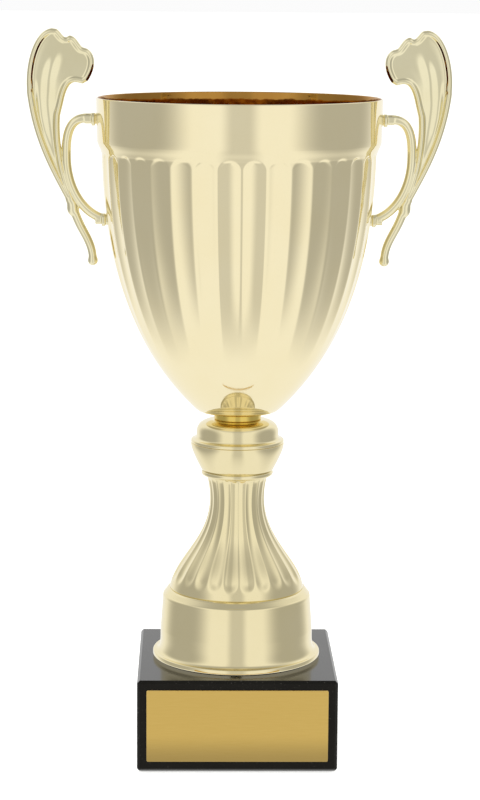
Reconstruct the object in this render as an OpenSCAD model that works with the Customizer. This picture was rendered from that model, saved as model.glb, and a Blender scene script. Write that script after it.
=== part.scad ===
// Two-handled cup trophy on a square stone base.
// +Z is up and the origin is on the table, on the axis of the tie rod.
// One steel rod clamps the whole stack, from the nut in the base to the nut in the bowl.

/* [Base] */
// Width of the square stone block
base_w = 90; // [80:1:110]
// Height of the top of the stone above the table
base_top = 42.8; // [36:0.2:50]
// Chamfer on every edge of the stone
base_chamfer = 1.2; // [0.5:0.1:2]
// Thickness of the felt feet
foot_pad_t = 0.8; // [0.5:0.1:1.5]
// Width of the name plate
plate_w = 81.4; // [60:0.2:84]
// Height of the name plate
plate_h = 33; // [20:0.2:34]
// Thickness of the name plate
plate_t = 0.6; // [0.4:0.1:1]

/* [Pedestal] */
// Radius of the pedestal's lowest lip
foot_r = 38.5; // [37:0.1:41]
// Height of the foot, from the gasket to the stem
foot_h = 32.1; // [30:0.1:36]
// Radius of the stem where it stands on the foot
stem_r = 30.8; // [30:0.1:31.5]
// Radius of the stem's waist
waist_r = 12.5; // [12:0.1:14]
// Height of the fluted stem
stem_h = 52.3; // [50:0.1:60]
// Largest radius of the knob
knob_r = 21.3; // [20.5:0.1:24]
// Thickness of the moulded walls
wall = 1.8; // [1.4:0.1:2.2]

/* [Bowl] */
// Radius of the bowl's rim
rim_r = 64.2; // [62:0.1:68]
// Height of the bowl
bowl_h = 142.2; // [138:0.2:156]
// Thickness of the sheet brass
sheet = 0.9; // [0.7:0.1:1.2]

/* [Handles] */
// Thickness of the cast handles, front to back
handle_t = 5; // [4:0.5:7]
// Width of the round arms of the handles
arm_w = 4; // [3.6:0.2:5]

/* [Tie rod] */
// Radius of the tie rod
rod_r = 2.95; // [2.5:0.05:3]
// Width across the flats of its nuts
nut_af = 10; // [9:0.5:11]

/* [Hidden] */
$fn = 96;

gold = [0.86, 0.80, 0.58];
nickel = [0.72, 0.72, 0.70];

// Heights of the joints between the stacked pieces
gasket_t = 0.8;
foot_z = base_top + gasket_t;
stem_z = foot_z + foot_h;
knob_z = stem_z + stem_h;
cone_h = 15.2;
cap_z = knob_z + cone_h;
cap_h = 10.7;
collar_z = cap_z + cap_h;
collar_h = 2.9;
collar_r = 10.7;
fibre_t = 0.6;
bowl_z = collar_z + collar_h + fibre_t;
rim_z = bowl_z + bowl_h;

// The rod, its nuts and the pocket under the stone
hole_r = 3.5;
pocket_r = 12;
pocket_z = 14.8;
nut_h = 5;
nut_bore = rod_r + 0.05;
spring_t = 1.5;
washer_t = 1.6;
clear = 0.15;

// Points along a cubic curve whose ends are a and d and whose handles are b and c
function curve(a, b, c, d, n = 16) = [for (i = [0:n]) let (t = i / n, s = 1 - t)
    s * s * s * a + 3 * s * s * t * b + 3 * s * t * t * c + t * t * t * d];

// Points along an arc about the centre c
function arc(c, r, from, to, n = 8) = [for (i = [0:n]) let (q = from + (to - from) * i / n)
    c + r * [cos(q), sin(q)]];

function inward(path, by) = [for (i = [0:len(path) - 1]) let (
    before = path[max(i - 1, 0)], after = path[min(i + 1, len(path) - 1)],
    step = after - before) path[i] + by * [-step[1], step[0]] / norm(step)];

function reversed(path) = [for (i = [len(path) - 1:-1:0]) path[i]];

module turned(outline) { rotate_extrude() polygon(outline); }

module ring(outer, inner, z, h) {
    translate([0, 0, z]) difference() {
        cylinder(r = outer, h = h);
        translate([0, 0, -1]) cylinder(r = inner, h = h + 2);
    }
}

module rod_hole(z, h) { translate([0, 0, z]) cylinder(r = hole_r, h = h); }

// ---- Base ----

pad_r = 5;
pad_inset = 9;

module foot_pads() {
    place = base_w / 2 - pad_inset;
    color("darkgreen") for (x = [-place, place], y = [-place, place])
        translate([x, y, 0]) cylinder(r = pad_r, h = foot_pad_t);
}

// A square slab whose edges are all chamfered: a prism cut by one profile along X and one along Y
module chamfered_block(w, z0, z1, c) {
    side = [[-w / 2, z0 + c], [-w / 2 + c, z0], [w / 2 - c, z0], [w / 2, z0 + c],
        [w / 2, z1 - c], [w / 2 - c, z1], [-w / 2 + c, z1], [-w / 2, z1 - c]];
    plan = [[-w / 2, -w / 2 + c], [-w / 2 + c, -w / 2], [w / 2 - c, -w / 2], [w / 2, -w / 2 + c],
        [w / 2, w / 2 - c], [w / 2 - c, w / 2], [-w / 2 + c, w / 2], [-w / 2, w / 2 - c]];
    intersection() {
        rotate([90, 0, 0]) linear_extrude(w + 2, center = true) polygon(side);
        rotate([90, 0, 90]) linear_extrude(w + 2, center = true) polygon(side);
        linear_extrude(z1 + 1) polygon(plan);
    }
}

module base_block() {
    color([0.10, 0.10, 0.10]) difference() {
        chamfered_block(base_w, foot_pad_t, base_top, base_chamfer);
        rod_hole(0, base_top + 1);
        cylinder(r = pocket_r, h = pocket_z);
    }
}

plate_z = foot_pad_t + 4.8 + plate_h / 2;
tape_t = 0.2;
tape_margin = 1.5;

module on_front(w, h, behind, t) {
    translate([-w / 2, -base_w / 2 - behind - t, plate_z - h / 2]) cube([w, t, h]);
}

module plate_tape() {
    color("ivory") on_front(plate_w - 2 * tape_margin, plate_h - 2 * tape_margin, 0, tape_t);
}

module name_plate() { color([0.80, 0.70, 0.45]) on_front(plate_w, plate_h, tape_t, plate_t); }

// ---- Rod, nuts and washers ----

module hex_nut(z) {
    translate([0, 0, z]) difference() {
        cylinder(r = nut_af / 2 / cos(30), h = nut_h, $fn = 6);
        translate([0, 0, -1]) cylinder(r = nut_bore, h = nut_h + 2);
    }
}

base_washer_z = pocket_z - washer_t;
spring_z = base_washer_z - spring_t;
base_nut_z = spring_z - nut_h;
bowl_washer_z = bowl_z + sheet;
bowl_washer_t = 1.2;
bowl_nut_z = bowl_washer_z + bowl_washer_t;
rod_bottom = base_nut_z - 2;
rod_top = bowl_nut_z + nut_h + 2.5;

module base_washer() { color(nickel) ring(9, rod_r + 0.25, base_washer_z, washer_t); }

// A split spring washer, cut through on one side
module spring_washer() {
    color(nickel) difference() {
        ring(5, rod_r + 0.15, spring_z, spring_t);
        translate([2, -0.4, spring_z - 1]) cube([5, 0.8, spring_t + 2]);
    }
}

module base_nut() { color(nickel) hex_nut(base_nut_z); }
module bowl_washer() { color(nickel) ring(9, rod_r + 0.25, bowl_washer_z, bowl_washer_t); }
module bowl_nut() { color(nickel) hex_nut(bowl_nut_z); }

module tie_rod() {
    color(nickel) translate([0, 0, rod_bottom]) cylinder(r = rod_r, h = rod_top - rod_bottom);
}

// ---- Pedestal: a foot and a fluted stem, both hollow mouldings round a central tube ----

tube_r = 6;
spigot_h = 2;

module base_gasket() { color([0.05, 0.05, 0.05]) ring(foot_r - 1.6, foot_r - 9, base_top, gasket_t); }

lip_h = 2.2;
cove_top = 8.7;
band_r = 35.05;
band_top_r = 34;
band_h = 28.5;

function foot_profile() = concat(
    [[foot_r - 0.4, 0], [foot_r, 0.4], [foot_r, lip_h - 0.6], [foot_r - 0.6, lip_h]],
    curve([foot_r - 1.4, lip_h], [band_r + 0.5, lip_h + 0.6], [band_r, lip_h + 3], [band_r, cove_top], 10),
    [[band_r, cove_top + 4]],
    curve([band_top_r, band_h - 1], [band_top_r, band_h], [band_top_r - 0.2, band_h + 0.3],
        [band_top_r - 0.8, band_h + 0.7], 5),
    [[stem_r + 0.3, foot_h]]);

module foot() {
    skin = foot_profile();
    color(gold) difference() {
        translate([0, 0, foot_z]) union() {
            turned(concat([[foot_r - 4, 0]], skin, [[tube_r, foot_h], [tube_r, foot_h - wall],
                [stem_r - 2.5, foot_h - wall], [band_top_r - wall, band_h - 1.5],
                [band_r - wall, cove_top], [foot_r - 4, lip_h]]));
            ring(tube_r, hole_r, 0, foot_h);
            ring(stem_r - wall - 0.5, stem_r - wall - 2, foot_h - 0.5, spigot_h + 0.5);
        }
        rod_hole(foot_z - 1, foot_h + 2);
    }
}

waist_z = 41.9;
neck_r = 14.5;

function stem_profile() = concat(
    curve([stem_r, 0], [stem_r - 1.75, 12.8], [waist_r, 22.4], [waist_r, waist_z], 24),
    curve([waist_r, waist_z], [waist_r, waist_z + 4.9], [neck_r - 0.85, stem_h - 0.1],
        [neck_r, stem_h], 8));

module stem() {
    skin = stem_profile();
    lining = inward([for (p = skin) if (p[1] < stem_h - 6) p], wall);
    top_in = lining[len(lining) - 1][0];
    color(gold) difference() {
        translate([0, 0, stem_z]) union() {
            turned(concat(skin, [[tube_r - 1, stem_h], [tube_r - 1, stem_h - wall], [top_in, stem_h - wall]],
                reversed(lining), [[lining[0][0], 0]]));
            ring(tube_r, hole_r, 8, stem_h - 8);
        }
        rod_hole(stem_z - 1, stem_h + 2);
    }
}

// ---- Knob: a flared cone with a neck ring, closed by a cushion-shaped cap ----

ring_h = 2.5;
ring_out = 16.15;
cone_foot_r = 16.35;
cone_top_in = knob_r - wall;

module knob_cone() {
    flare = curve([cone_foot_r, ring_h], [cone_foot_r + 5, ring_h + 9.3], [knob_r, cone_h - 1.2],
        [knob_r, cone_h], 12);
    bead = arc([ring_out - ring_h / 2 + 0.3, ring_h / 2], ring_h / 2, -90, 90, 10);
    color(gold) difference() {
        translate([0, 0, knob_z]) union() {
            turned(concat([[tube_r - 1, 0]], bead, flare, [[cone_top_in, cone_h], [cone_top_in, cone_h - 3],
                [cone_foot_r - wall, ring_h + 1], [tube_r - 1, ring_h + 1]]));
            ring(tube_r, hole_r, 0, cone_h - 0.5);
        }
        rod_hole(knob_z - 1, cone_h + 2);
    }
}

cap_side_r = 18.8;
cap_top_r = 12.1;

module knob_cap() {
    outline = concat(
        [[knob_r - 0.4, 0], [knob_r, 0.4], [knob_r - 0.1, 1.4]],
        curve([knob_r - 0.5, 2], [cap_side_r + 0.3, 2.4], [cap_side_r, 3], [cap_side_r, 4.2], 6),
        curve([cap_side_r, 6], [cap_side_r - 0.4, 8.8], [cap_side_r - 2.4, cap_h - 0.9],
            [cap_top_r, cap_h], 10));
    color(gold) difference() {
        translate([0, 0, cap_z]) union() {
            turned(concat(outline, [[tube_r - 1, cap_h], [tube_r - 1, cap_h - wall],
                [cap_top_r, cap_h - wall], [cap_side_r - wall, cap_h - 5], [cap_side_r - wall, 0]]));
            ring(tube_r, hole_r, 0.5, cap_h - 0.5);
            ring(cone_top_in - clear, cone_top_in - 2, -spigot_h, spigot_h + 1.5);
        }
        rod_hole(cap_z - spigot_h - 1, cap_h + spigot_h + 2);
    }
}

module collar() {
    color(gold) translate([0, 0, collar_z])
        turned(concat([[hole_r, 0]], arc([collar_r - 0.5, 0.5], 0.5, -90, 0, 4),
            arc([collar_r - 0.5, collar_h - 0.5], 0.5, 0, 90, 4), [[hole_r, collar_h]]));
}

module bowl_gasket() { color("saddlebrown") ring(collar_r - 1, hole_r, bowl_z - fibre_t, fibre_t); }

// ---- Bowl: one pressed sheet, with a flat seat, a fluted belly and a plain band under the rim ----

seat_r = 12.6;
turn_r = 18.8;
belly_r = rim_r - 2.5;
band_z = 122.8;
belly_z = 117.3;
shoulder_r = rim_r - 0.4;

function bowl_profile() = concat(
    [[hole_r, 0]],
    curve([seat_r, 0], [seat_r + 3, 0], [turn_r - 1.5, 0.1], [turn_r, 1], 5),
    curve([turn_r + 0.6, 1.6], [turn_r + 29.8, 29.6], [belly_r - 0.9, 68.5], [belly_r, belly_z], 28),
    curve([belly_r + 0.3, belly_z + 0.7], [belly_r + 1, belly_z + 2.9], [shoulder_r - 0.6, band_z - 2.3],
        [shoulder_r, band_z], 5),
    [[rim_r, bowl_h - 0.8]]);

module bowl_solid(extra = 0) {
    turned(concat([[0, 0]], [for (p = bowl_profile()) p + [extra, 0]], [[rim_r + extra, bowl_h], [0, bowl_h]]));
}

// The screws that hold each handle: height, radius of the wall there, height of the bore
upper_z = bowl_z + 132.3;
lower_z = bowl_z + 87.3;
upper_wall = shoulder_r + (rim_r - shoulder_r) * (upper_z - bowl_z - band_z) / (bowl_h - band_z);
lower_wall = 58.95;
screw_hole_r = 1.7;

module at_screws(sides = [-1, 1]) {
    for (s = sides, h = [[upper_z, upper_wall], [lower_z, lower_wall]])
        translate([s * h[1], 0, h[0]]) rotate([0, s * 90, 0]) children();
}

module bowl() {
    outside = bowl_profile();
    inside = inward(outside, sheet);
    color(gold) difference() {
        translate([0, 0, bowl_z]) turned(concat(outside,
            arc([rim_r - sheet / 2, bowl_h - sheet / 2], sheet / 2, 0, 180, 6),
            reversed([for (p = inside) if (p[1] > sheet + 0.05 && p[1] < bowl_h - 1) p]),
            [[seat_r, sheet], [hole_r, sheet]]));
        at_screws() translate([0, 0, -3]) cylinder(r = screw_hole_r, h = 6);
    }
}

// ---- Handles: a leaf of three petals, a C-shaped arm and a tail, cast in one piece ----
// Each outline is [distance from the bowl's axis, height above the bowl's seat].

// A strip of the given width along a path, with round ends
module strip(path, w) {
    sides = [for (i = [0:len(path) - 1]) let (
        step = path[min(i + 1, len(path) - 1)] - path[max(i - 1, 0)]) [-step[1], step[0]] / norm(step) * w / 2];
    polygon(concat([for (i = [0:len(path) - 1]) path[i] + sides[i]],
        [for (i = [len(path) - 1:-1:0]) path[i] - sides[i]]));
    for (end = [path[0], path[len(path) - 1]]) translate(end) circle(d = w, $fn = 24);
}

knot = [74.7, 92.7];

function arm_path() = concat(
    curve([64.7, 132.6], [73, 136.3], [77.4, 132], [77.5, 117.8], 12),
    curve([77.5, 115.9], [77.6, 106.4], [75.8, 99.8], knot, 8));
function foot_arm_path() = curve(knot, [71.2, 90.6], [67.4, 87.5], [60.6, 87.5], 8);
function tail_path() = curve(knot, [70.3, 84.9], [66.8, 77.8], [66.1, 69.5], 10);

function leaf_outline() = concat(
    curve(knot + [1.6, 0.6], [82.4, 105.5], [92.2, 120.2], [95, 143.9], 12),
    curve([95, 145.7], [95.7, 156.5], [92, 171.3], [83.8, 172.6], 10),
    curve([81.5, 172.3], [79.6, 170.9], [78.9, 168.7], [77.4, 168.5], 4),
    curve([75.9, 169.5], [72.8, 169.2], [71.7, 165.5], [70.1, 164.2], 4),
    curve([68, 163.6], [63.9, 161.2], [63.7, 155.2], [67.8, 149.2], 6),
    curve([70.1, 147.9], [72.9, 148.4], [76.3, 151.2], [78.7, 139.6], 6),
    curve([80.1, 133.9], [80.8, 123.5], [79.4, 108.3], knot + [-1.5, 2.3], 8));

module handle_solid() {
    translate([0, 0, bowl_z]) rotate([90, 0, 0]) {
        linear_extrude(handle_t, center = true) polygon(leaf_outline());
        linear_extrude(arm_w, center = true) strip(arm_path(), arm_w);
        linear_extrude(arm_w, center = true) strip(foot_arm_path(), arm_w);
        linear_extrude(arm_w, center = true) strip(tail_path(), arm_w);
    }
}

boss_r = 2.6;
bore_depth = 5.5;

// The right-hand handle, with a boss at each end of its arms and a blind bore for its screw
module handle() {
    difference() {
        union() {
            handle_solid();
            at_screws([1]) translate([0, 0, -1]) cylinder(r = boss_r, h = 5);
        }
        translate([0, 0, bowl_z]) bowl_solid(0.02);
        at_screws([1]) translate([0, 0, -3]) cylinder(r = screw_r + 0.03, h = 3 + bore_depth);
    }
}

module handle_right() { color(gold) handle(); }
module handle_left() { color(gold) mirror([1, 0, 0]) handle(); }

screw_r = 1.45;
head_r = 2.8;
head_h = 1.6;
seat_gap = 0.35;
small_washer_t = 0.5;

module handle_washers() {
    color(nickel) at_screws() translate([0, 0, -sheet - seat_gap - small_washer_t]) difference() {
        cylinder(r = 3.4, h = small_washer_t);
        translate([0, 0, -1]) cylinder(r = screw_r + 0.1, h = small_washer_t + 2);
    }
}

module handle_screws() {
    under_head = -sheet - seat_gap - small_washer_t;
    color(nickel) at_screws() difference() {
        union() {
            translate([0, 0, under_head - head_h]) cylinder(r1 = head_r - 0.6, r2 = head_r, h = head_h);
            translate([0, 0, under_head - 0.01]) cylinder(r = screw_r, h = bore_depth - 0.6 - under_head);
        }
        for (turn = [0, 90]) rotate([0, 0, turn])
            translate([-1.6, -0.35, under_head - head_h - 0.1]) cube([3.2, 0.7, 0.9]);
    }
}

foot_pads();
base_block();
plate_tape();
name_plate();
base_nut();
spring_washer();
base_washer();
base_gasket();
foot();
stem();
knob_cone();
knob_cap();
collar();
bowl_gasket();
bowl();
bowl_washer();
bowl_nut();
tie_rod();
handle_left();
handle_right();
handle_washers();
handle_screws();
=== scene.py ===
import bpy
import numpy as np
from mathutils import Euler, Matrix, Vector


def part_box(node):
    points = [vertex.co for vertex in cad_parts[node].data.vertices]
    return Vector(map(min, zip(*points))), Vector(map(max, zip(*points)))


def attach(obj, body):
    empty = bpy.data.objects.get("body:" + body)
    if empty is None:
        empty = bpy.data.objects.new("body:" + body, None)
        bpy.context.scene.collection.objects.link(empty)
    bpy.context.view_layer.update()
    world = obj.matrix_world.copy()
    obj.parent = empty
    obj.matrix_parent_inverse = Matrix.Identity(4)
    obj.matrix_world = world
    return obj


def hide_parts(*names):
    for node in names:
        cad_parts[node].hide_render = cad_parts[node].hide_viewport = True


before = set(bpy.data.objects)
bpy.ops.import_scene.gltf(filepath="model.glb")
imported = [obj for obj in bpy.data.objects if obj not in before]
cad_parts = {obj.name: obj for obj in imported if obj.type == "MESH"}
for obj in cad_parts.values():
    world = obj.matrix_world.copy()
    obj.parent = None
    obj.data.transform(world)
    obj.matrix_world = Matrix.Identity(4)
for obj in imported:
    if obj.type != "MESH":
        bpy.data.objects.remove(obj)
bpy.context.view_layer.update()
toMetres = 0.001


# ---- small helpers ----

def nodeBox(name):
    # lowest and highest corner of a CAD node, in millimetres
    low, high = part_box(name)
    return np.array(low) / toMetres, np.array(high) / toMetres


def curve(a, b, c, d, steps=16):
    # cubic curve: ends a and d, pulled towards b and c
    t = np.linspace(0, 1, steps + 1)[:, None]
    a, b, c, d = (np.array(p, float) for p in (a, b, c, d))
    return a * (1 - t) ** 3 + 3 * b * (1 - t) ** 2 * t + 3 * c * (1 - t) * t ** 2 + d * t ** 3


def arc(centre, radius, start, end, steps=8):
    # points on a circle from one angle to another, in degrees
    q = np.radians(np.linspace(start, end, steps + 1))
    return np.array(centre, float) + radius * np.stack([np.cos(q), np.sin(q)], 1)


def joined(*parts):
    # one path from several, without doubled points
    path = np.concatenate([np.atleast_2d(np.array(p, float)) for p in parts])
    keep = np.r_[True, np.linalg.norm(np.diff(path, axis=0), axis=1) > 1e-4]
    return path[keep]


def resampled(path, spacing):
    # the same path with points at even distances
    along = np.r_[0, np.cumsum(np.linalg.norm(np.diff(path, axis=0), axis=1))]
    count = max(int(np.ceil(along[-1] / spacing)), 2)
    where = np.linspace(0, along[-1], count + 1)
    return np.stack([np.interp(where, along, path[:, k]) for k in range(path.shape[1])], 1)


def leftNormals(path):
    # unit vectors at a quarter turn left of the path's direction
    step = np.gradient(path, axis=0)
    step /= np.linalg.norm(step, axis=1)[:, None]
    return np.stack([-step[:, 1], step[:, 0]], 1)


def smoothStep(low, high, x):
    t = np.clip((x - low) / (high - low), 0, 1)
    return t * t * (3 - 2 * t)


def gridFaces(rows, columns, wrapRows):
    # quads of a grid whose columns go round, and whose rows go round too if asked
    r = np.arange(rows if wrapRows else rows - 1)[:, None]
    c = np.arange(columns)[None, :]
    nextRow, nextColumn = (r + 1) % rows, (c + 1) % columns
    quads = [r * columns + c, r * columns + nextColumn,
             nextRow * columns + nextColumn, nextRow * columns + c]
    return np.stack(quads, -1).reshape(-1, 4)


def makePiece(name, points, quads, material, stands=(), smooth=True):
    mesh = bpy.data.meshes.new(name)
    mesh.vertices.add(len(points))
    mesh.vertices.foreach_set("co", (np.asarray(points) * toMetres).astype(np.float32).ravel())
    mesh.loops.add(quads.size)
    mesh.loops.foreach_set("vertex_index", quads.astype(np.int32).ravel())
    mesh.polygons.add(len(quads))
    mesh.polygons.foreach_set("loop_start", np.arange(0, quads.size, 4, dtype=np.int32))
    mesh.polygons.foreach_set("use_smooth", np.full(len(quads), smooth))
    mesh.update(calc_edges=True)
    mesh.validate()
    mesh.materials.append(material)
    piece = bpy.data.objects.new(name, mesh)
    bpy.context.scene.collection.objects.link(piece)
    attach(piece, "root")
    if stands:
        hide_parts(*stands)
    return piece


def turnedGrid(profile, angles, cut=None):
    # each profile point (radius, height) goes round the axis; cut takes depth off along the normal
    radius, height = profile[:, 0][:, None], profile[:, 1][:, None]
    if cut is not None:
        outward = -leftNormals(profile)
        radius = radius - cut * outward[:, 0][:, None]
        height = height - cut * outward[:, 1][:, None]
    height = height + 0 * angles[None, :]
    return np.stack([radius * np.sin(angles), -radius * np.cos(angles), height], -1).reshape(-1, 3)


def turnedPiece(name, profile, material, stands, segments=128, smooth=True):
    # a closed profile (a loop that keeps off the axis) goes round the axis
    angles = np.linspace(0, 2 * np.pi, segments, endpoint=False)
    points = turnedGrid(profile, angles)
    return makePiece(name, points, gridFaces(len(profile), segments, True), material, stands, smooth)


# ---- materials ----

def linear(hexColour):
    # sRGB hex to linear light
    rgb = np.array([int(hexColour[i:i + 2], 16) for i in (1, 3, 5)]) / 255
    rgb = np.where(rgb <= 0.04045, rgb / 12.92, ((rgb + 0.055) / 1.055) ** 2.4)
    return (*rgb, 1.0)


def add(tree, kind, inputs=None, **settings):
    # one shader node with its settings, values and links
    node = tree.nodes.new(kind)
    for key, value in settings.items():
        setattr(node, key, value)
    for key, value in (inputs or {}).items():
        if isinstance(value, bpy.types.NodeSocket):
            tree.links.new(value, node.inputs[key])
        else:
            node.inputs[key].default_value = value
    return node


def blankMaterial(name):
    material = bpy.data.materials.new(name)
    material.use_nodes = True
    tree = material.node_tree
    tree.nodes.clear()
    place = add(tree, "ShaderNodeTexCoord").outputs["Object"]
    return material, tree, place


def finished(tree, shader):
    add(tree, "ShaderNodeOutputMaterial", {"Surface": shader.outputs["BSDF"]})


def perMm(size):
    # texture scale whose features are about this many millimetres
    return 1000 / size


def platedGold(name, light, dark, roughness, ripple, rippleDepth):
    # a thin lacquered gold flash over polished metal: a mirror, a little uneven in tone and gloss
    material, tree, place = blankMaterial(name)
    cloud = add(tree, "ShaderNodeTexNoise", {"Vector": place, "Scale": perMm(22), "Detail": 3.0})
    tone = add(tree, "ShaderNodeMix", {"Factor": cloud.outputs["Fac"], "A": linear(light), "B": linear(dark)},
               data_type="RGBA")
    wear = add(tree, "ShaderNodeTexNoise", {"Vector": place, "Scale": perMm(3), "Detail": 4.0})
    gloss = add(tree, "ShaderNodeMapRange", {"Value": wear.outputs["Fac"], "From Min": 0.3, "From Max": 0.8,
                                             "To Min": roughness, "To Max": roughness + 0.05})
    wave = add(tree, "ShaderNodeTexNoise", {"Vector": place, "Scale": perMm(ripple), "Detail": 1.0})
    bump = add(tree, "ShaderNodeBump", {"Height": wave.outputs["Fac"], "Strength": 1.0,
                                        "Distance": rippleDepth * toMetres})
    shader = add(tree, "ShaderNodeBsdfPrincipled", {
        "Base Color": tone.outputs["Result"], "Metallic": 1.0, "Roughness": gloss.outputs["Result"],
        "Normal": bump.outputs["Normal"]})
    finished(tree, shader)
    return material


def polishedMarble():
    # near-black limestone sold as marble: deep polish, pale calcite specks and a few faint clouds
    material, tree, place = blankMaterial("polishedBlackMarble")
    specks = add(tree, "ShaderNodeTexNoise", {"Vector": place, "Scale": perMm(0.9), "Detail": 2.0})
    speckMask = add(tree, "ShaderNodeMapRange", {"Value": specks.outputs["Fac"], "From Min": 0.66,
                                                 "From Max": 0.8, "To Min": 0.0, "To Max": 1.0})
    clouds = add(tree, "ShaderNodeTexNoise", {"Vector": place, "Scale": perMm(14), "Detail": 5.0})
    ground = add(tree, "ShaderNodeMix", {"Factor": clouds.outputs["Fac"], "A": linear("#090807"),
                                         "B": linear("#151412")}, data_type="RGBA")
    stone = add(tree, "ShaderNodeMix", {"Factor": speckMask.outputs["Result"], "A": ground.outputs["Result"],
                                        "B": linear("#4A4843")}, data_type="RGBA")
    gloss = add(tree, "ShaderNodeMapRange", {"Value": specks.outputs["Fac"], "To Min": 0.07, "To Max": 0.2})
    shader = add(tree, "ShaderNodeBsdfPrincipled", {
        "Base Color": stone.outputs["Result"], "Roughness": gloss.outputs["Result"], "IOR": 1.6,
        "Specular Tint": (0.24, 0.23, 0.2, 1.0)})
    finished(tree, shader)
    return material


def brushedPlate():
    # anodised aluminium sheet, brushed lengthwise: soft gloss drawn out across the grain, and painted shade
    # along its lower edge
    material, tree, place = blankMaterial("satinGoldAluminium")
    stretched = add(tree, "ShaderNodeMapping", {"Vector": place, "Scale": (0.03, 1.0, 1.0)})
    grain = add(tree, "ShaderNodeTexNoise", {"Vector": stretched.outputs["Vector"], "Scale": perMm(0.25),
                                             "Detail": 3.0})
    tone = add(tree, "ShaderNodeMix", {"Factor": grain.outputs["Fac"], "A": linear("#E7C573"),
                                       "B": linear("#DCB963")}, data_type="RGBA")
    axes = add(tree, "ShaderNodeSeparateXYZ", {"Vector": place}).outputs
    # painted reflection of shade: the tone darkens towards the plate's lower edge, standing in for the shaded
    # table below it
    reflectedShade = add(tree, "ShaderNodeMapRange", {"Value": axes["Z"], "From Min": 0.019, "From Max": 0.006,
                                             "To Max": 0.5}, interpolation_type="SMOOTHSTEP")
    tone = add(tree, "ShaderNodeMix", {"Factor": reflectedShade.outputs["Result"], "A": tone.outputs["Result"],
                                       "B": linear("#86744C")}, data_type="RGBA")
    gloss = add(tree, "ShaderNodeMapRange", {"Value": grain.outputs["Fac"], "To Min": 0.34, "To Max": 0.46})
    bump = add(tree, "ShaderNodeBump", {"Height": grain.outputs["Fac"], "Strength": 0.25,
                                        "Distance": 0.01 * toMetres})
    shader = add(tree, "ShaderNodeBsdfPrincipled", {
        "Base Color": tone.outputs["Result"], "Metallic": 1.0, "Roughness": gloss.outputs["Result"],
        "Normal": bump.outputs["Normal"]})
    finished(tree, shader)
    return material


def zincPlate():
    # bright zinc on steel: cool grey with a patchy dullness
    material, tree, place = blankMaterial("brightZincPlate")
    patch = add(tree, "ShaderNodeTexNoise", {"Vector": place, "Scale": perMm(2.5), "Detail": 4.0})
    tone = add(tree, "ShaderNodeMix", {"Factor": patch.outputs["Fac"], "A": linear("#C4C6C5"),
                                       "B": linear("#A5A294")}, data_type="RGBA")
    gloss = add(tree, "ShaderNodeMapRange", {"Value": patch.outputs["Fac"], "To Min": 0.2, "To Max": 0.45})
    shader = add(tree, "ShaderNodeBsdfPrincipled", {
        "Base Color": tone.outputs["Result"], "Metallic": 1.0, "Roughness": gloss.outputs["Result"]})
    finished(tree, shader)
    return material


def dullSheet(name, light, dark, grainSize, roughness, depth, sheen=0.0):
    # felt, rubber, fibre and tape: matt, with the grain of the sheet showing in tone and relief
    material, tree, place = blankMaterial(name)
    grain = add(tree, "ShaderNodeTexNoise", {"Vector": place, "Scale": perMm(grainSize), "Detail": 5.0})
    tone = add(tree, "ShaderNodeMix", {"Factor": grain.outputs["Fac"], "A": linear(light),
                                       "B": linear(dark)}, data_type="RGBA")
    bump = add(tree, "ShaderNodeBump", {"Height": grain.outputs["Fac"], "Strength": 0.6,
                                        "Distance": depth * toMetres})
    shader = add(tree, "ShaderNodeBsdfPrincipled", {
        "Base Color": tone.outputs["Result"], "Roughness": roughness, "Sheen Weight": sheen,
        "Normal": bump.outputs["Normal"]})
    finished(tree, shader)
    return material


sheetGold = platedGold("goldFlashedSheet", "#F6EBC6", "#F3E6BC", 0.03, 30, 0.02)
castGold = platedGold("goldFlashedCasting", "#F3ECCB", "#E6DCB2", 0.035, 6, 0.012)
mouldedGold = platedGold("metallisedMoulding", "#EFE3BB", "#EADDAF", 0.035, 14, 0.012)
# the bowl's inside is the same gold sheet; its darker, browner colour is painted shade for the deep hollow's
# interreflections
shadedInsideGold = platedGold("insideGoldPaintedShade", "#C99A4A", "#96662C", 0.05, 5, 0.08)
collarGold = platedGold("goldFlashedCollar", "#E4CB70", "#DABA5C", 0.05, 8, 0.006)
marble = polishedMarble()
plateGold = brushedPlate()
zinc = zincPlate()
felt = dullSheet("pressedFelt", "#1D1D1F", "#0D0D0E", 0.35, 0.95, 0.12, 0.4)
rubber = dullSheet("blackRubber", "#141414", "#0A0A0A", 0.6, 0.6, 0.02)
fibre = dullSheet("vulcanisedFibre", "#7A3620", "#5B2716", 0.5, 0.7, 0.03)
tape = dullSheet("foamTape", "#EDE8DA", "#D9D2C0", 0.4, 0.85, 0.05)
print("materials ready")


# ---- bowl: one pressed sheet, so the inside follows the flutes of the outside ----

bowlForm = dict(seatR=12.6, turnR=18.8, bellyDrop=2.5, bellyZ=117.3, bandZ=122.8, shoulderDrop=0.4,
                sheet=0.9, holeR=3.5)
bowlFlutes = dict(count=36, phase=0.1, depth=0.52, ridge=0.24, fadeFrom=22, fadeTo=72, topZ=118.6,
                  archRise=3.4, topBlend=1.6, columns=18)
bowlLow, bowlHigh = nodeBox("bowl")
seatZ, rimZ, rimR = bowlLow[2], bowlHigh[2], min(bowlHigh[:2])
bowlHeight = rimZ - seatZ


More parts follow.
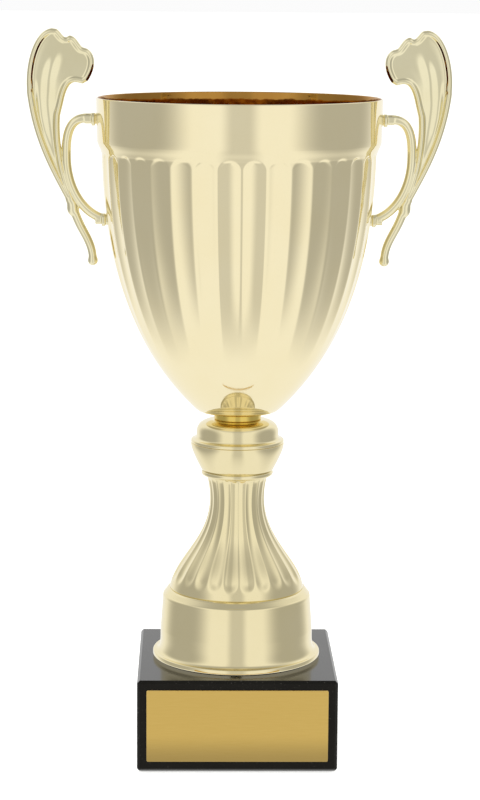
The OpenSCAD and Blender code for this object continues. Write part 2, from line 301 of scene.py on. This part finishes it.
def bowlOutline():
    # outer side of the sheet from the rod hole to the rim, as (radius, height above the seat)
    f = bowlForm
    bellyR, shoulderR = rimR - f["bellyDrop"], rimR - f["shoulderDrop"]
    seat = curve((f["seatR"], 0), (f["seatR"] + 3, 0), (f["turnR"] - 1.5, 0.1), (f["turnR"], 1))
    belly = curve((f["turnR"] + 0.6, 1.6), (f["turnR"] + 29.8, 29.6), (bellyR - 0.9, 68.5),
                  (bellyR, f["bellyZ"]), 80)
    shoulder = curve((bellyR + 0.3, f["bellyZ"] + 0.7), (bellyR + 1, f["bellyZ"] + 2.9),
                     (shoulderR - 0.6, f["bandZ"] - 2.3), (shoulderR, f["bandZ"]), 12)
    return joined((f["holeR"], 0), seat, belly, shoulder, (rimR, bowlHeight - 0.6))


def fluteDip(u, ridge):
    # 0 on the rounded ridge (u = 0), then a round hollow down to 1 at its middle (u = 1 or -1)
    u = abs(u)
    crest, hollow = 2 * ridge / np.pi, (1 - ridge) / 2
    onRidge = crest * (1 - np.cos(np.pi / 2 * np.clip(u / ridge, 0, 1)))
    inHollow = hollow * (1 - np.clip((1 - u) / (1 - ridge), 0, 1) ** 2)
    return (onRidge + inHollow) / (crest + hollow)


def fluteAngles(count, phase, columns):
    # angles round the axis, drawn closer together at the ridges, and the place across each ridge
    even = (np.arange(columns) + 0.5) / columns * 2 - 1
    u = even - 0.2 * np.sin(np.pi * even)
    angle = np.radians((np.arange(count)[:, None] + u[None, :] / 2) * 360 / count + phase).ravel()
    return angle, np.tile(u, count)


def makeBowl():
    f = bowlFlutes
    outline = bowlOutline()
    outer = resampled(outline, 2.1)
    near = (outline[:, 1] > f["topZ"] - 5) & (outline[:, 1] < bowlForm["bandZ"] + 1)
    close = resampled(outline[near], 0.5)
    outer = joined(outer[outer[:, 1] <= close[0, 1]], close, outer[outer[:, 1] > close[-1, 1] + 0.3])
    sheet = bowlForm["sheet"]
    inner = resampled(outline, 3.3)
    inner = inner + sheet * leftNormals(inner)
    inner = inner[(inner[:, 1] > sheet + 0.02) & (inner[:, 1] < bowlHeight - 0.8)][::-1]
    lip = arc((rimR - sheet / 2, bowlHeight - sheet / 2), sheet / 2, 0, 180, 6)
    loop = joined(outer, lip, inner, (bowlForm["seatR"], sheet), (bowlForm["holeR"], sheet))
    angles, u = fluteAngles(f["count"], f["phase"], f["columns"])
    height = loop[:, 1][:, None]
    # each hollow has a round top and fades out towards the seat
    top = f["topZ"] - f["archRise"] * (1 - abs(u)) ** 2
    fade = smoothStep(f["fadeFrom"], f["fadeTo"], height) * smoothStep(0, f["topBlend"], top - height)
    cut = f["depth"] * fluteDip(u, f["ridge"])[None, :] * fade
    onInside = (np.arange(len(loop)) >= len(outer) + len(lip) - 1)[:, None]
    points = turnedGrid(loop, angles, np.where(onInside, -cut, cut))
    points[:, 2] += seatZ
    piece = makePiece("bowlSheet", points, gridFaces(len(loop), len(angles), True), sheetGold,
                      ["bowl"])
    piece.data.materials.append(shadedInsideGold)
    # the inside faces get the darker gold, painted shade of the hollow
    inside = np.repeat(np.arange(len(loop)) >= len(outer) + 4, len(angles))
    piece.data.polygons.foreach_set("material_index", inside.astype(np.int32))
    return piece


makeBowl()
print("bowl made")


# ---- pedestal ----

footForm = dict(lipH=2.2, coveTop=8.7, bandR=35.05, bandTopR=34, bandH=28.5, stemR=30.8, holeR=3.5)
footHigh = nodeBox("foot")[1]
stemLow, stemHigh = nodeBox("stem")
gasketTop = nodeBox("base_gasket")[1][2]


def makeFoot():
    f = footForm
    footR, top = footHigh[0], stemLow[2] - gasketTop
    skin = joined(
        arc((footR - 0.6, 0.6), 0.6, -90, 0, 5),
        arc((footR - 0.7, f["lipH"] - 0.7), 0.7, 0, 90, 6),
        curve((footR - 1.2, f["lipH"]), (f["bandR"] + 0.5, f["lipH"] + 0.5), (f["bandR"], f["lipH"] + 3),
              (f["bandR"], f["coveTop"]), 14),
        resampled(np.array([[f["bandR"], f["coveTop"] + 0.4], [f["bandR"], f["coveTop"] + 4]]), 1),
        resampled(np.array([[f["bandR"], f["coveTop"] + 4.2], [f["bandTopR"], f["bandH"] - 1]]), 1),
        curve((f["bandTopR"], f["bandH"] - 0.8), (f["bandTopR"], f["bandH"]),
              (f["bandTopR"] - 0.3, f["bandH"] + 0.5), (f["bandTopR"] - 0.9, f["bandH"] + 0.9), 8),
        curve((f["stemR"] + 1.2, top - 0.7), (f["stemR"] + 0.6, top - 0.2), (f["stemR"] + 0.2, top),
              (f["stemR"] - 0.5, top), 6))
    loop = joined((f["holeR"], 0), skin, (f["holeR"], top)) + [0, gasketTop]
    turnedPiece("drumFoot", loop, mouldedGold, ["foot"], 160)


stemForm = dict(footR=30.8, waistR=12.5, waistZ=41.9, neckR=14.5, holeR=3.5)
stemFlutes = dict(count=24, phase=1.5, share=0.085, ridge=0.3, startZ=3.0, startBlend=4.5,
                  archRise=2.2, endZ=51.7, columns=16)


def makeStem():
    f, g = stemForm, stemFlutes
    base = stemLow[2]
    height = stemHigh[2] - base
    trumpet = curve((f["footR"], 0), (f["footR"] - 1.75, 12.8), (f["waistR"], 22.4),
                    (f["waistR"], f["waistZ"]), 60)
    neck = curve((f["waistR"], f["waistZ"]), (f["waistR"], f["waistZ"] + 4.9),
                 (f["neckR"] - 0.85, height - 0.1), (f["neckR"], height), 16)
    skin = resampled(joined(trumpet, neck), 0.7)
    loop = joined((f["holeR"], 0), skin, (f["holeR"], height))
    angles, u = fluteAngles(g["count"], g["phase"], g["columns"])
    z = loop[:, 1][:, None]
    start = g["startZ"] + g["archRise"] * (1 - abs(u)) ** 2
    fade = smoothStep(0, g["startBlend"], z - start) * smoothStep(0, 0.8, g["endZ"] - z)
    # the flutes narrow with the stem, and their depth goes with their width
    pitch = 2 * np.pi * loop[:, 0][:, None] / g["count"]
    onSkin = (loop[:, 0] > f["holeR"] + 1)[:, None]
    points = turnedGrid(loop, angles, pitch * g["share"] * fluteDip(u, g["ridge"])[None, :] * fade * onSkin)
    points[:, 2] += base
    makePiece("flutedStem", points, gridFaces(len(loop), len(angles), True), mouldedGold,
              ["stem"])


knobForm = dict(ringH=2.5, ringR=16.15, coneR=16.35, sideR=18.8, topR=12.1, holeR=3.5)


def makeKnob():
    f = knobForm
    coneLow, coneHigh = nodeBox("knob_cone")
    capHigh = nodeBox("knob_cap")[1]
    knobR, coneH = coneHigh[0], coneHigh[2] - coneLow[2]
    flare = curve((f["coneR"], f["ringH"]), (f["coneR"] + 5, f["ringH"] + 9.3), (knobR, coneH - 1.4),
                  (knobR, coneH - 0.35), 28)
    bead = arc((f["ringR"] - f["ringH"] / 2 + 0.3, f["ringH"] / 2), f["ringH"] / 2, -90, 90, 12)
    edge = arc((knobR - 0.35, coneH - 0.35), 0.35, 20, 90, 4)
    cone = joined((f["holeR"], 0), bead, flare, edge, (f["holeR"], coneH)) + [0, coneLow[2]]
    turnedPiece("knobCone", cone, mouldedGold, ["knob_cone"], 144)
    capH = capHigh[2] - coneHigh[2]
    cap = joined(
        (f["holeR"], 0), arc((knobR - 0.5, 0.45), 0.45, -90, 0, 5), arc((knobR - 0.75, 1.0), 0.7, 0, 80, 5),
        curve((knobR - 1.0, 1.75), (f["sideR"] + 0.3, 2.0), (f["sideR"], 2.6), (f["sideR"], 3.8), 8),
        curve((f["sideR"], 5), (f["sideR"] - 0.3, 8.6), (f["sideR"] - 2.4, capH - 0.8),
              (f["topR"], capH), 18),
        (f["holeR"], capH)) + [0, coneHigh[2]]
    turnedPiece("knobCap", cap, mouldedGold, ["knob_cap"], 144)


collarForm = dict(holeR=3.5, edge=0.5)


def makeCollar():
    low, high = nodeBox("collar")
    r, h, hole, edge = high[0], high[2] - low[2], collarForm["holeR"], collarForm["edge"]
    ring = joined((hole, 0), arc((r - edge, edge), edge, -90, 0, 6),
                  arc((r - edge, h - edge), edge, 0, 90, 6), (hole, h)) + [0, low[2]]
    turnedPiece("goldCollar", ring, collarGold, ["collar"], 96)


makeFoot()
makeStem()
makeKnob()
makeCollar()
print("pedestal made")


# ---- handles: castings, worked out as one solid field so that the petals, arms and tail flow together ----
# Outlines are (distance from the bowl's axis, height above the seat), and the solid is where the field is
# positive.

handleForm = dict(step=0.27, rimR=1.45, rimSwell=1.35, arm=2.1, tail=1.85, blend=0.6, fieldDepth=0.95,
                  dome=0.35, knot=(74.7, 92.7), ball=(65.8, 68.9), ballR=2.25)
screwHeights = (132.3, 87.3)


def leafOutline():
    k = np.array(handleForm["knot"])
    return joined(
        curve(k + [1.6, 0.6], (82.4, 105.5), (92.2, 120.2), (95, 143.9), 40),
        curve((95, 145.7), (95.7, 156.5), (92, 171.3), (83.8, 172.5), 30),
        curve((81.5, 172.2), (79.6, 170.9), (78.9, 168.7), (77.4, 168.5), 10),
        curve((75.9, 169.4), (72.8, 169.2), (71.7, 165.5), (70.1, 164.2), 10),
        curve((68, 163.6), (63.9, 161.2), (63.7, 155.2), (67.8, 149.2), 16),
        curve((70.1, 147.9), (72.9, 148.4), (76.3, 151.2), (78.7, 139.6), 18),
        curve((80.1, 133.9), (80.8, 123.5), (79.4, 108.3), k + [-1.5, 2.3], 24))


def armPath():
    return joined(curve((60.2, 132.3), (68.5, 132.8), (77.5, 136.2), (77.5, 117.8), 30),
                  curve((77.5, 115.9), (77.6, 99.7), (68.3, 87.6), (57.3, 87.2), 30))


def tailPath():
    return joined(curve((75.9, 96.4), (74, 90.7), (72.6, 87.3), (71.3, 84.6), 12),
                  curve((71.1, 84.2), (68.4, 79.1), (65.8, 75.3), handleForm["ball"], 20))


def grooves():
    # hollow lines of the leaf, from the scallops down to where the petals meet: path, width, depth, start
    outer = joined(curve((88.5, 164), (91.6, 158), (92.2, 146), (90.6, 133.6), 24),
                   curve((90.4, 132.6), (88.6, 123), (84.6, 113.2), (78.2, 101.5), 24))
    middle = curve((79.5, 164.5), (89, 151), (86.2, 130.6), (80.6, 108), 40)
    inner = curve((72.4, 159.6), (78, 158.6), (82.5, 149), (83.4, 138), 24)
    return [(outer, 1.15, 1.05, (0.2, 0.42)), (middle, 2.5, 0.85, (0, 0.22)), (inner, 2.6, 0.42, (0.1, 0.85))]


def distanceTo(path, x, z, closed=False):
    # distance from every grid point to a path, and which share of its length is nearest
    ends = np.roll(path, -1, axis=0) if closed else path[1:]
    starts = path if closed else path[:-1]
    best = np.full(x.shape, 1e9)
    share = np.zeros(x.shape)
    for i, (p, q) in enumerate(zip(starts, ends)):
        d = q - p
        t = np.clip(((x - p[0]) * d[0] + (z - p[1]) * d[1]) / (d @ d), 0, 1)
        away = np.hypot(x - p[0] - t * d[0], z - p[1] - t * d[1])
        nearer = away < best
        best = np.where(nearer, away, best)
        share = np.where(nearer, (i + t) / len(starts), share)
    return best, share


def insideOf(path, x, z):
    # even-odd rule: a point is inside when a level line from it crosses the outline an odd number of times
    odd = np.zeros(x.shape, bool)
    for p, q in zip(path, np.roll(path, -1, axis=0)):
        crosses = (p[1] > z) != (q[1] > z)
        reach = (q[0] - p[0]) * (z - p[1]) / (q[1] - p[1] + 1e-12) + p[0]
        odd ^= crosses & (x < reach)
    return odd


def softMax(a, b, width):
    # the larger of two fields, with a fillet of about this width where they meet
    h = np.clip(0.5 + 0.5 * (a - b) / width, 0, 1)
    return b + (a - b) * h + width * h * (1 - h)


def skinOf(field, origin, step):
    # one point in each cell that the surface crosses, at the mean of its edge crossings, and a quad
    # round each grid edge whose ends are on different sides
    solid = field > 0
    cells = tuple(n - 1 for n in field.shape)
    total, count = np.zeros(cells + (3,)), np.zeros(cells)
    for axis in range(3):
        b, c = (axis + 1) % 3, (axis + 2) % 3
        lowEnd = [slice(None)] * 3
        highEnd = [slice(None)] * 3
        lowEnd[axis], highEnd[axis] = slice(0, -1), slice(1, None)
        here, there = field[tuple(lowEnd)], field[tuple(highEnd)]
        crossed = solid[tuple(lowEnd)] != solid[tuple(highEnd)]
        part = np.where(crossed, here / np.where(crossed, here - there, 1), 0)
        for db in (0, 1):
            for dc in (0, 1):
                pick = [slice(None)] * 3
                pick[b] = slice(db, db + cells[b])
                pick[c] = slice(dc, dc + cells[c])
                mark = crossed[tuple(pick)]
                offset = np.zeros(cells + (3,))
                offset[..., axis] = part[tuple(pick)]
                offset[..., b], offset[..., c] = db, dc
                total += offset * mark[..., None]
                count += mark
    active = count > 0
    number = np.full(cells, -1)
    number[active] = np.arange(active.sum())
    corner = np.stack(np.nonzero(active), 1)
    points = origin + step * (corner + total[active] / count[active][:, None])
    quads = []
    for axis in range(3):
        b, c = (axis + 1) % 3, (axis + 2) % 3
        lowEnd = [slice(1, -1)] * 3
        highEnd = [slice(1, -1)] * 3
        lowEnd[axis], highEnd[axis] = slice(0, -1), slice(1, None)
        leaves = solid[tuple(lowEnd)] & ~solid[tuple(highEnd)]
        enters = ~solid[tuple(lowEnd)] & solid[tuple(highEnd)]
        for mask, order in ((leaves, (0, 1, 2, 3)), (enters, (3, 2, 1, 0))):
            at = np.stack(np.nonzero(mask), 1)
            at[:, b] += 1
            at[:, c] += 1
            ring = []
            for db, dc in ((-1, -1), (0, -1), (0, 0), (-1, 0)):
                cell = at.copy()
                cell[:, b] += db
                cell[:, c] += dc
                ring.append(number[cell[:, 0], cell[:, 1], cell[:, 2]])
            quads.append(np.stack([ring[i] for i in order], 1))
    return points, np.concatenate(quads)


def handleField(x, y, z):
    # x and z are flat maps and y runs front to back; returns the field on the whole block of points
    f = handleForm
    outline = resampled(leafOutline(), 0.5)
    edge, _ = distanceTo(outline, x, z, True)
    edge = np.where(insideOf(outline, x, z), edge, -edge)
    # the floor of the leaf: convex petals with hollow lines between them
    floor = np.full(x.shape, f["fieldDepth"])
    for path, width, depth, start in grooves():
        away, share = distanceTo(resampled(path, 1), x, z)
        endFade = smoothStep(*start, share) * smoothStep(0, 0.4, 1 - share)
        floor = floor - depth * endFade * np.exp(-(away / width) ** 2)
    floor = floor + f["dome"] * (1 - np.exp(-(np.clip(edge, 0, None) / 4) ** 2))
    y3 = abs(y)[None, :, None]
    flat = lambda m: m[:, None, :]
    plate = np.minimum(flat(floor) - y3, flat(edge - 0.7))
    rim = f["rimR"] - np.hypot(flat(edge - f["rimR"]), y3 / f["rimSwell"])
    solid = softMax(plate, rim, f["blend"])
    armAway, armShare = distanceTo(resampled(armPath(), 1), x, z)
    arm = flat(f["arm"] + 0.35 * smoothStep(0.93, 1, armShare) + 0.2 * smoothStep(0.06, 0, armShare)) \
        - np.hypot(flat(armAway), y3)
    tailAway, tailShare = distanceTo(resampled(tailPath(), 1), x, z)
    tail = flat(f["tail"] + 0.25 * (1 - tailShare)) - np.hypot(flat(tailAway), y3)
    ballAway = np.hypot(x - f["ball"][0], z - f["ball"][1])
    ball = f["ballR"] - np.hypot(flat(ballAway), y3)
    knotAway = np.hypot((x - f["knot"][0]) * 1.0, (z - f["knot"][1]) * 0.72)
    knot = 2.7 - np.hypot(flat(knotAway), y3 * 1.05)
    for other, width in ((arm, 0.35), (tail, 0.5), (ball, 0.8), (knot, 0.6)):
        solid = softMax(solid, other, width)
    return solid


def wallRadius(height):
    outline = bowlOutline()
    rising = outline[:, 1] > 2
    return np.interp(height, outline[rising, 1], outline[rising, 0])


def makeHandles():
    step = handleForm["step"]
    xs = np.arange(57, 97, step)
    ys = np.arange(-3.4, 3.4 + step, step)
    ys -= ys.mean()
    zs = np.arange(65.4, 174.4, step)
    x, z = np.meshgrid(xs, zs, indexing="ij")
    field = handleField(x, ys, z)
    # a collar round each boss, then the casting is cut back to the bowl's wall
    for height in screwHeights:
        wall = wallRadius(height)
        away = np.hypot(z[:, None, :] - height, ys[None, :, None])
        out = x[:, None, :] - wall
        boss = np.minimum(2.0 - away, 5.1 - out)
        ring = np.minimum(2.95 - away, 0.8 - abs(out - 1.4))
        field = softMax(softMax(field, boss, 0.8), ring, 0.3)
    clear = np.hypot(x[:, None, :], ys[None, :, None]) - wallRadius(z)[:, None, :] + 0.55
    field = np.minimum(field, clear)
    points, quads = skinOf(field, np.array([xs[0], ys[0], zs[0]]), step)
    points[:, 2] += seatZ
    for name, side, node in (("handleRight", 1, "handle_right"), ("handleLeft", -1, "handle_left")):
        faces = quads if side > 0 else quads[:, ::-1]
        piece = makePiece(name, points * [side, 1, 1], faces, castGold, [node])
        relax = piece.modifiers.new("relax", "SMOOTH")
        relax.factor, relax.iterations = 0.5, 2


makeHandles()
print("handles made")


# ---- base ----

plateForm = dict(corner=0.7, bevel=0.22, columns=6)


def roundedRing(halfW, halfH, corner, inset, steps):
    # a rectangle with round corners, drawn in from its edge, as one closed ring
    r = max(corner - inset, 0.05)
    x, z = halfW - inset - r, halfH - inset - r
    corners = [(x, z, 0), (-x, z, 90), (-x, -z, 180), (x, -z, 270)]
    return np.concatenate([arc(c[:2], r, c[2], c[2] + 90, steps) for c in corners])


def closeWithGrid(ring, steps):
    # faces over a ring of four corner arcs: quads between opposite points, side to side
    count = len(ring)
    half = count // 2
    first = np.arange(half - 1)
    return np.stack([first, first + 1, count - 2 - first, count - 1 - first], 1)


def makePlate():
    low, high = nodeBox("name_plate")
    f = plateForm
    centre = (low + high) / 2
    halfW, halfH = (high[0] - low[0]) / 2, (high[2] - low[2]) / 2
    rings = []
    for y, inset in ((high[1], 0.15), (high[1] - 0.1, 0), (low[1] + f["bevel"], 0),
                     (low[1] + f["bevel"] * 0.3, f["bevel"] * 0.3), (low[1], f["bevel"])):
        ring = roundedRing(halfW, halfH, f["corner"], inset, f["columns"])
        rings.append(np.stack([centre[0] + ring[:, 0], np.full(len(ring), y), centre[2] + ring[:, 1]], 1))
    count = len(rings[0])
    sides = gridFaces(len(rings), count, False)
    front = closeWithGrid(rings[-1], f["columns"]) + (len(rings) - 1) * count
    back = closeWithGrid(rings[0], f["columns"])[:, ::-1]
    makePiece("namePlate", np.concatenate(rings), np.concatenate([sides, front, back]), plateGold,
              ["name_plate"], smooth=False)


makePlate()

rodForm = dict(pitch=1.0, depth=0.55, segments=24, rowsPerTurn=6)


def makeRod():
    # M6 thread: the crest winds up the rod once per pitch
    low, high = nodeBox("tie_rod")
    f = rodForm
    r = high[0]
    z = np.arange(low[2] + 0.6, high[2] - 0.6, f["pitch"] / f["rowsPerTurn"])
    angles = np.linspace(0, 2 * np.pi, f["segments"], endpoint=False)
    turns = z[:, None] / f["pitch"] - angles[None, :] / (2 * np.pi)
    wave = abs(2 * (turns % 1) - 1)
    radius = r - f["depth"] * smoothStep(0.15, 0.85, wave)
    points = np.stack([radius * np.sin(angles), -radius * np.cos(angles), z[:, None] + 0 * angles], -1)
    ends = []
    for height, size in ((low[2], 0.05), (low[2], 0.76)):
        ends.append(np.stack([r * size * np.sin(angles), -r * size * np.cos(angles),
                              np.full(len(angles), height)], -1))
    tips = []
    for height, size in ((high[2], 0.76), (high[2], 0.05)):
        tips.append(np.stack([r * size * np.sin(angles), -r * size * np.cos(angles),
                              np.full(len(angles), height)], -1))
    rows = np.concatenate([np.array(ends), points, np.array(tips)])
    makePiece("threadedRod", rows.reshape(-1, 3), gridFaces(len(rows), len(angles), True), zinc,
              ["tie_rod"])


nutForm = dict(boreR=3.0, chamfer=0.7, edge=0.97, across=1.16, segments=96)


def makeNut(name, node):
    # a hexagon whose corners are turned off to a cone above and below
    f = nutForm
    low, high = nodeBox(node)
    flat = (high[1] - low[1]) / 2
    height = high[2] - low[2]
    angles = np.linspace(0, 2 * np.pi, f["segments"], endpoint=False)
    hexagon = flat / np.cos((angles + np.pi / 6) % (np.pi / 3) - np.pi / 6)
    rows = []
    bore, edge, across, chamfer = f["boreR"], flat * f["edge"], flat * f["across"], f["chamfer"]
    for z, size, cut in ((0, bore, None), (0, None, edge), (chamfer, None, across),
                         (height - chamfer, None, across), (height, None, edge), (height, bore, None)):
        radius = np.full(len(angles), size) if size else np.minimum(hexagon, cut)
        rows.append(np.stack([radius * np.cos(angles), radius * np.sin(angles),
                              np.full(len(angles), low[2] + z)], 1))
    points = np.concatenate(rows)
    makePiece(name, points, gridFaces(len(rows), len(angles), True), zinc, [node], smooth=False)


makeRod()
makeNut("bowlNut", "bowl_nut")
makeNut("baseNut", "base_nut")

for node, material in {"base_block": marble, "plate_tape": tape, "base_gasket": rubber, "foot_pads": felt,
                       "bowl_gasket": fibre, "bowl_washer": zinc, "base_washer": zinc, "spring_washer": zinc,
                       "handle_washers": zinc, "handle_screws": zinc}.items():
    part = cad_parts[node]
    part.data.materials.clear()
    part.data.materials.append(material)
# the dark base is left out of reflections, so the bowl's underside stays pale
for node in ("base_block", "base_gasket", "foot_pads", "plate_tape"):
    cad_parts[node].visible_glossy = False
print("base made")


# ---- stage, light and camera ----

def plainMaterial(name, colour, strength=0.0):
    material, tree, _ = blankMaterial(name)
    shader = add(tree, "ShaderNodeBsdfPrincipled", {
        "Base Color": linear(colour), "Roughness": 0.9, "Emission Color": linear(colour),
        "Emission Strength": strength})
    finished(tree, shader)
    return material


tableForm = dict(half=40000, glow=0.62)


def makeTable():
    # a very wide pale table; in the metal's reflections the tent's own cloth stands in for it
    half = tableForm["half"]
    mesh = bpy.data.meshes.new("table")
    corners = [(-half, -half, 0), (half, -half, 0), (half, half, 0), (-half, half, 0)]
    mesh.from_pydata([tuple(np.array(c) * toMetres) for c in corners], [], [(0, 1, 2, 3)])
    mesh.materials.append(plainMaterial("paleTable", "#F7F7F5", tableForm["glow"]))
    table = bpy.data.objects.new("table", mesh)
    bpy.context.scene.collection.objects.link(table)
    table.visible_glossy = False


makeTable()

def areaLight(name, position, size, power):
    data = bpy.data.lights.new(name, "AREA")
    data.shape, data.size, data.energy = "SQUARE", size, power
    lamp = bpy.data.objects.new(name, data)
    bpy.context.scene.collection.objects.link(lamp)
    lamp.location = position
    toward = Vector((0, 0, 0.15)) - lamp.location
    lamp.rotation_euler = toward.to_track_quat("-Z", "Y").to_euler()
    lamp.visible_camera = False
    lamp.visible_glossy = False


areaLight("keyLight", (-0.9, -1.0, 1.5), 1.2, 14)
areaLight("fillLight", (1.1, -0.4, 1.4), 1.4, 9)

# a light tent: pale cloth all round, a dim opening at each side, a soft gap in front and a dim roof
tentForm = dict(cloth=1.0, sides=(0.6, 0.95), sideLoss=0.5, gap=(0.3, 0.1), gapFront=(0.3, 0.8), gapLoss=0.3,
                roof=(0.6, 0.95), roofLoss=0.5, backdrop=0.97)


def makeStudio():
    # brightness is the cloth's, less a share towards either side, less a share in front, less one overhead
    f = tentForm
    world = bpy.data.worlds.new("studio")
    bpy.context.scene.world = world
    world.use_nodes = True
    tree = world.node_tree
    tree.nodes.clear()
    direction = add(tree, "ShaderNodeTexCoord").outputs["Generated"]
    axes = add(tree, "ShaderNodeSeparateXYZ", {"Vector": direction}).outputs
    aside = add(tree, "ShaderNodeMath", {0: axes["X"]}, operation="ABSOLUTE").outputs[0]
    ahead = add(tree, "ShaderNodeMath", {0: axes["Y"], 1: -1.0}, operation="MULTIPLY").outputs[0]
    inFront = add(tree, "ShaderNodeMapRange", {
        "Value": ahead, "From Min": f["gapFront"][0], "From Max": f["gapFront"][1], "To Min": 0.0,
        "To Max": f["gapLoss"]}, interpolation_type="SMOOTHSTEP").outputs["Result"]
    light = None
    for value, reach, loss in ((aside, f["sides"], f["sideLoss"]), (axes["Z"], f["roof"], f["roofLoss"]),
                               (aside, f["gap"], inFront)):
        lost = add(tree, "ShaderNodeMapRange", {
            "Value": value, "From Min": reach[0], "From Max": reach[1], "To Min": 0.0, "To Max": 1.0},
            interpolation_type="SMOOTHSTEP").outputs["Result"]
        share = add(tree, "ShaderNodeMath", {0: lost, 1: loss}, operation="MULTIPLY").outputs[0]
        kept = add(tree, "ShaderNodeMath", {0: 1.0, 1: share}, operation="SUBTRACT").outputs[0]
        light = add(tree, "ShaderNodeMath", {0: kept, 1: f["cloth"] if light is None else light},
                    operation="MULTIPLY").outputs[0]
    # the camera itself sees a plain pale backdrop
    seen = add(tree, "ShaderNodeLightPath").outputs["Is Camera Ray"]
    shown = add(tree, "ShaderNodeMix", {"Factor": seen, "A": light, "B": f["backdrop"]}).outputs["Result"]
    sky = add(tree, "ShaderNodeBackground", {"Color": shown, "Strength": 1.0})
    add(tree, "ShaderNodeOutputWorld", {"Surface": sky.outputs["Background"]})


makeStudio()

cameraForm = dict(distance=1085.2, height=349.6, tilt=9.78, lens=108.56, azimuth=-1.13, roll=0.39, aside=1.05)


def makeCamera():
    f = cameraForm
    data = bpy.data.cameras.new("camera")
    data.lens, data.sensor_width = f["lens"], 36
    data.clip_start, data.clip_end = 0.05, 30
    camera = bpy.data.objects.new("camera", data)
    bpy.context.scene.collection.objects.link(camera)
    # the camera stands a little to one side and looks past the axis by the same amount
    a = np.radians(f["azimuth"])
    out, side = np.array([np.sin(a), -np.cos(a)]), np.array([np.cos(a), np.sin(a)])
    place = (out * f["distance"] + side * f["aside"]) * toMetres
    camera.location = (place[0], place[1], f["height"] * toMetres)
    level = Euler((np.radians(90 - f["tilt"]), 0, a)).to_matrix()
    turn = level @ Matrix.Rotation(np.radians(f["roll"]), 3, "Z")
    camera.rotation_euler = turn.to_euler()
    bpy.context.scene.camera = camera


makeCamera()
scene = bpy.context.scene
scene.view_settings.view_transform = "Standard"
scene.cycles.glossy_bounces = 10
scene.cycles.max_bounces = 12
print("stage ready")
